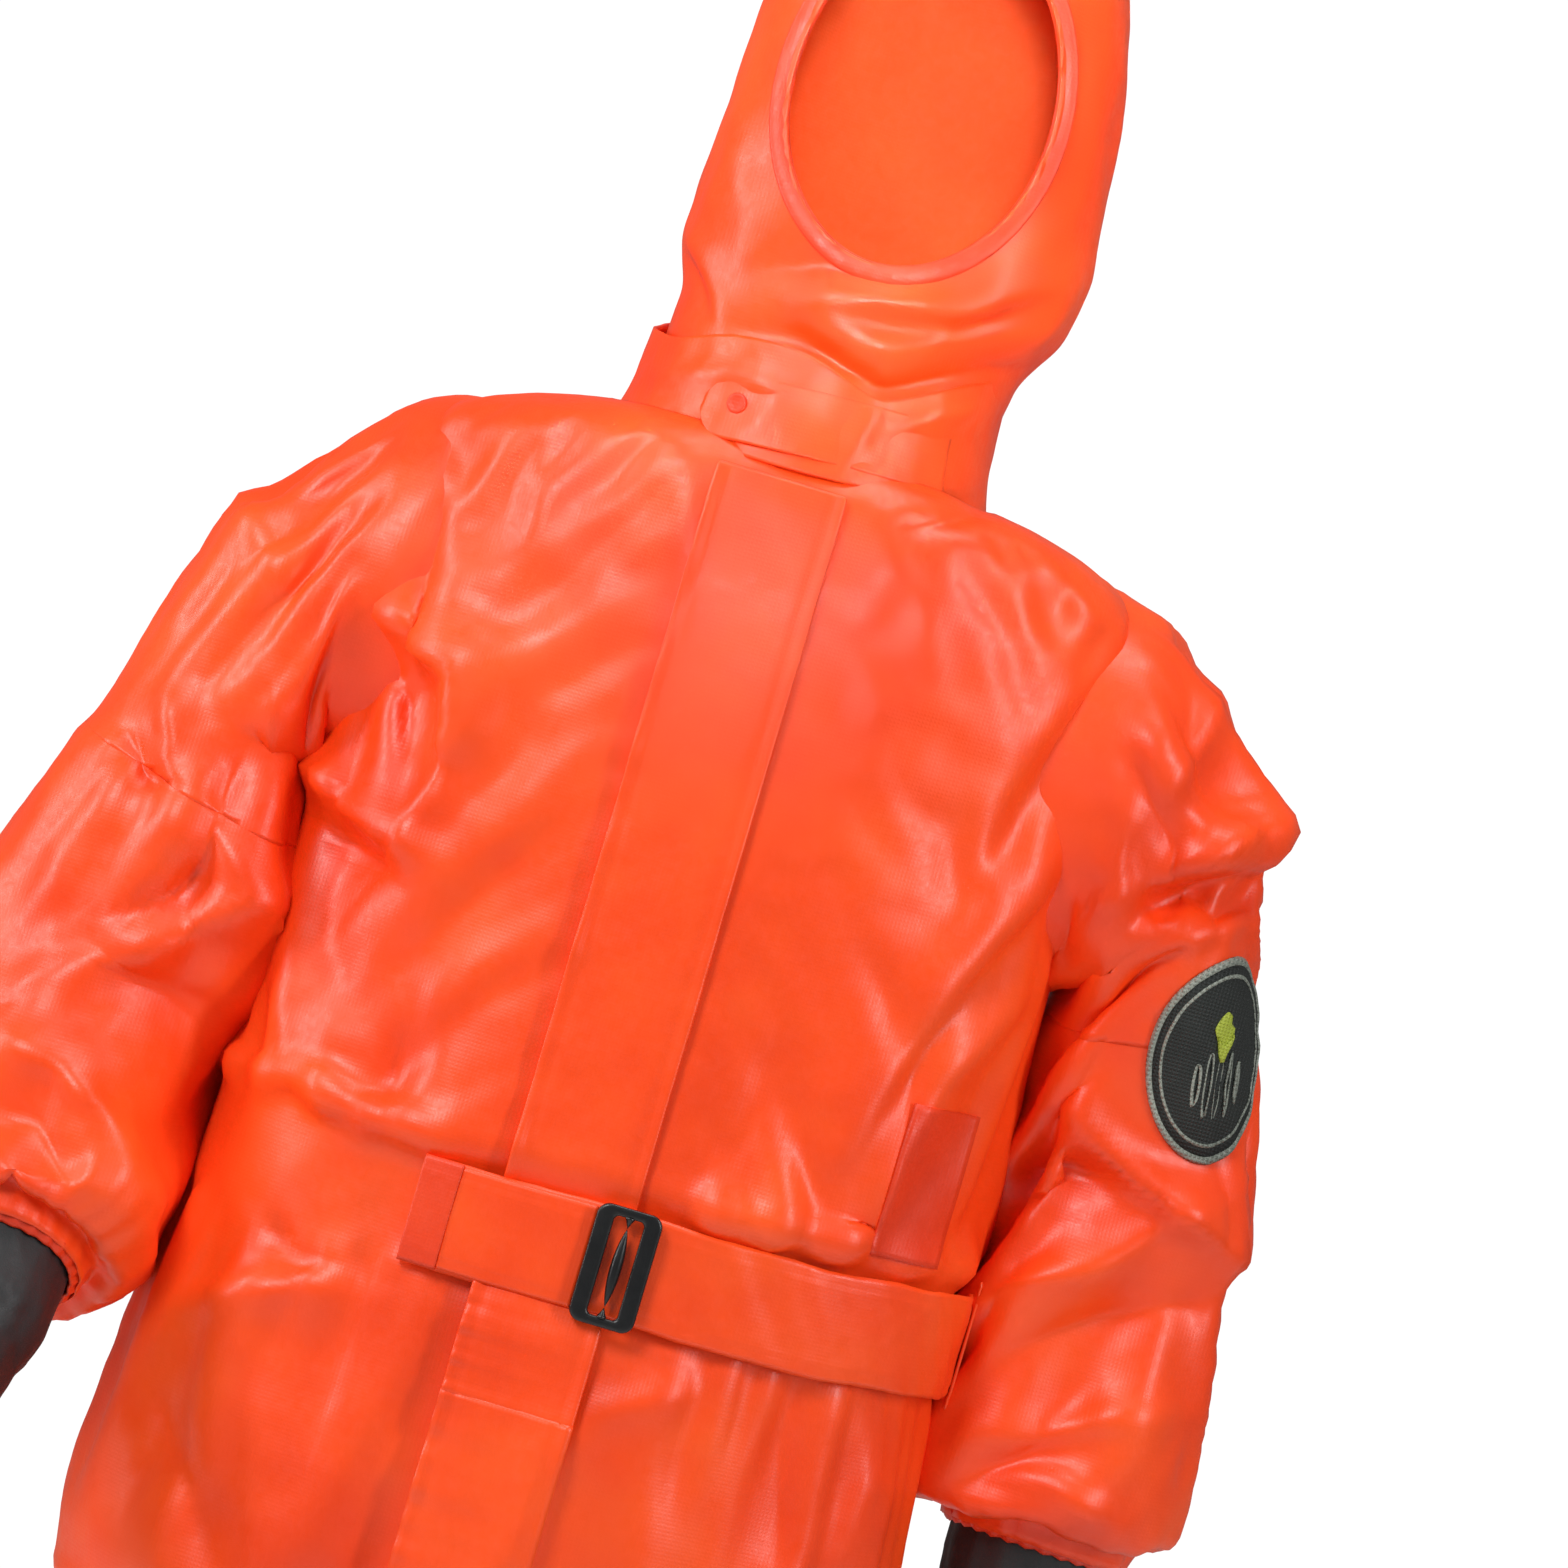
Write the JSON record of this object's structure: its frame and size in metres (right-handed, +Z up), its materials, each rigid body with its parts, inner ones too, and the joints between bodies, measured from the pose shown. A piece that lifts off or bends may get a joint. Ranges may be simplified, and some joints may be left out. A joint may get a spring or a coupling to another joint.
{
  "type": "chemical protective suit",
  "caption": "Orange coated-fabric chemical protective suit: hooded one-piece with storm flap, waist belt, gloves and boots.",
  "frame": {"origin": "the middle of the neck base, where the hood and collar meet the body of the suit", "axes": "+Z up along the wearer, -Y the front, +X the wearer's left"},
  "size_m": [0.7866, 0.4206, 1.86],
  "materials": {
    "coated_fabric": "glossy rubber-coated cloth",
    "black_rubber": "matte",
    "black_plastic": "satin",
    "red_tape": "woven tape",
    "zip_metal": "satin",
    "badge": "embroidered"
  },
  "bodies": {
    "torso": {"back_panel": "coated_fabric", "front_left_panel": "coated_fabric", "front_right_panel": "coated_fabric", "seat_and_crotch": "coated_fabric", "collar_band": "coated_fabric", "neck_skirt": "coated_fabric", "zip_tape_left": "red_tape", "zip_tape_right": "red_tape", "flap_hook_strip": "red_tape", "belt_band": "coated_fabric", "belt_keeper_left": "coated_fabric", "side_patch_left": "coated_fabric", "left_shoulder_section": "coated_fabric", "right_shoulder_section": "coated_fabric", "left_hip_section": "coated_fabric", "right_hip_section": "coated_fabric"},
    "hood": {"hood_left_panel": "coated_fabric", "hood_right_panel": "coated_fabric", "hood_crown_strip": "coated_fabric", "face_seal": "coated_fabric"},
    "storm_flap": {"storm_flap_upper": "coated_fabric", "storm_flap_lower": "coated_fabric", "flap_loop_strip": "red_tape"},
    "collar_tab": {"collar_tab": "coated_fabric", "collar_snap": "black_plastic"},
    "zip_slider": {"zip_slider": "zip_metal", "zip_pull": "zip_metal"},
    "belt_tail": {"belt_tail": "coated_fabric", "belt_tail_tip": "coated_fabric"},
    "buckle": {"buckle_frame": "black_plastic", "buckle_bar": "black_plastic"},
    "left_upper_arm": {"left_upper_sleeve": "coated_fabric", "left_elbow_section": "coated_fabric", "sleeve_badge": "badge"},
    "left_forearm": {"left_forearm_sleeve": "coated_fabric", "left_sleeve_cuff": "coated_fabric", "left_glove_gauntlet": "black_rubber", "left_wrist_section": "black_rubber"},
    "left_hand": {"left_glove_hand": "black_rubber"},
    "left_thigh": {"left_thigh_leg": "coated_fabric", "left_knee_section": "coated_fabric"},
    "left_shin": {"left_shin_leg": "coated_fabric", "left_boot_shaft": "black_rubber", "left_ankle_section": "black_rubber"},
    "left_foot": {"left_boot_foot": "black_rubber", "left_boot_sole": "black_rubber"},
    "right_upper_arm": {"right_upper_sleeve": "coated_fabric", "right_elbow_section": "coated_fabric"},
    "right_forearm": {"right_forearm_sleeve": "coated_fabric", "right_sleeve_cuff": "coated_fabric", "right_glove_gauntlet": "black_rubber", "right_wrist_section": "black_rubber"},
    "right_hand": {"right_glove_hand": "black_rubber"},
    "right_thigh": {"right_thigh_leg": "coated_fabric", "right_knee_section": "coated_fabric"},
    "right_shin": {"right_shin_leg": "coated_fabric", "right_boot_shaft": "black_rubber", "right_ankle_section": "black_rubber"},
    "right_foot": {"right_boot_foot": "black_rubber", "right_boot_sole": "black_rubber"}
  },
  "joints": [
    {"name": "hood_fold_back", "type": "hinge", "parent": "torso", "child": "hood", "pos_m": [0, 0.112, 0.092], "axis": [-1, 0, 0], "range_deg": [0, 95], "deforming": ["neck_skirt"]},
    {"name": "storm_flap_open", "type": "hinge", "parent": "torso", "child": "storm_flap", "pos_m": [0.032, -0.16, -0.29], "axis": [0, 0.0499, 0.9988], "range_deg": [0, 140]},
    {"name": "collar_tab_open", "type": "hinge", "parent": "torso", "child": "collar_tab", "pos_m": [0.088, -0.076, 0.022], "axis": [0, 0, 1], "range_deg": [0, 110]},
    {"name": "zip_slide", "type": "slide", "parent": "torso", "child": "zip_slider", "axis": [0, -0.0499, -0.9988], "range_m": [0, 0.43]},
    {"name": "belt_tail_open", "type": "hinge", "parent": "torso", "child": "belt_tail", "pos_m": [0.006, -0.171, -0.464], "axis": [0, 0, 1], "range_deg": [0, 110]},
    {"name": "buckle_slide", "type": "slide", "parent": "torso", "child": "buckle", "axis": [1, 0, 0], "range_m": [0, 0.03]},
    {"name": "left_shoulder_raise", "type": "hinge", "parent": "torso", "child": "left_upper_arm", "pos_m": [0.235, 0.01, -0.095], "axis": [0, -1, 0], "range_deg": [0, 70], "deforming": ["left_shoulder_section"]},
    {"name": "left_elbow_bend", "type": "hinge", "parent": "left_upper_arm", "child": "left_forearm", "pos_m": [0.317, 0.026, -0.385], "axis": [-1, 0, 0], "range_deg": [0, 75], "deforming": ["left_elbow_section"]},
    {"name": "left_wrist_tilt", "type": "hinge", "parent": "left_forearm", "child": "left_hand", "pos_m": [0.30773, 0.03682, -0.61271], "axis": [-1, 0, 0], "range_deg": [-20, 25], "deforming": ["left_wrist_section"]},
    {"name": "left_hip_bend", "type": "hinge", "parent": "torso", "child": "left_thigh", "pos_m": [0.116, -0.055, -0.69], "axis": [-1, 0, 0], "range_deg": [-10, 60], "deforming": ["left_hip_section"]},
    {"name": "left_knee_bend", "type": "hinge", "parent": "left_thigh", "child": "left_shin", "pos_m": [0.121, 0.042, -1], "axis": [1, 0, 0], "range_deg": [0, 90], "deforming": ["left_knee_section"]},
    {"name": "left_ankle_tilt", "type": "hinge", "parent": "left_shin", "child": "left_foot", "pos_m": [0.126, 0.012, -1.395], "axis": [-1, 0, 0], "range_deg": [-15, 15], "deforming": ["left_ankle_section"]},
    {"name": "right_shoulder_raise", "type": "hinge", "parent": "torso", "child": "right_upper_arm", "pos_m": [-0.235, 0.01, -0.095], "axis": [0, 1, 0], "range_deg": [0, 70], "deforming": ["right_shoulder_section"]},
    {"name": "right_elbow_bend", "type": "hinge", "parent": "right_upper_arm", "child": "right_forearm", "pos_m": [-0.328, -0.007, -0.385], "axis": [-1, 0, 0], "range_deg": [-30, 40], "deforming": ["right_elbow_section"]},
    {"name": "right_wrist_tilt", "type": "hinge", "parent": "right_forearm", "child": "right_hand", "pos_m": [-0.30783, -0.13763, -0.60058], "axis": [-1, 0, 0], "range_deg": [-20, 25], "deforming": ["right_wrist_section"]},
    {"name": "right_hip_bend", "type": "hinge", "parent": "torso", "child": "right_thigh", "pos_m": [-0.116, -0.055, -0.69], "axis": [-1, 0, 0], "range_deg": [-10, 60], "deforming": ["right_hip_section"]},
    {"name": "right_knee_bend", "type": "hinge", "parent": "right_thigh", "child": "right_shin", "pos_m": [-0.121, 0.042, -1], "axis": [1, 0, 0], "range_deg": [0, 90], "deforming": ["right_knee_section"]},
    {"name": "right_ankle_tilt", "type": "hinge", "parent": "right_shin", "child": "right_foot", "pos_m": [-0.126, 0.012, -1.395], "axis": [-1, 0, 0], "range_deg": [-15, 15], "deforming": ["right_ankle_section"]}
  ]
}
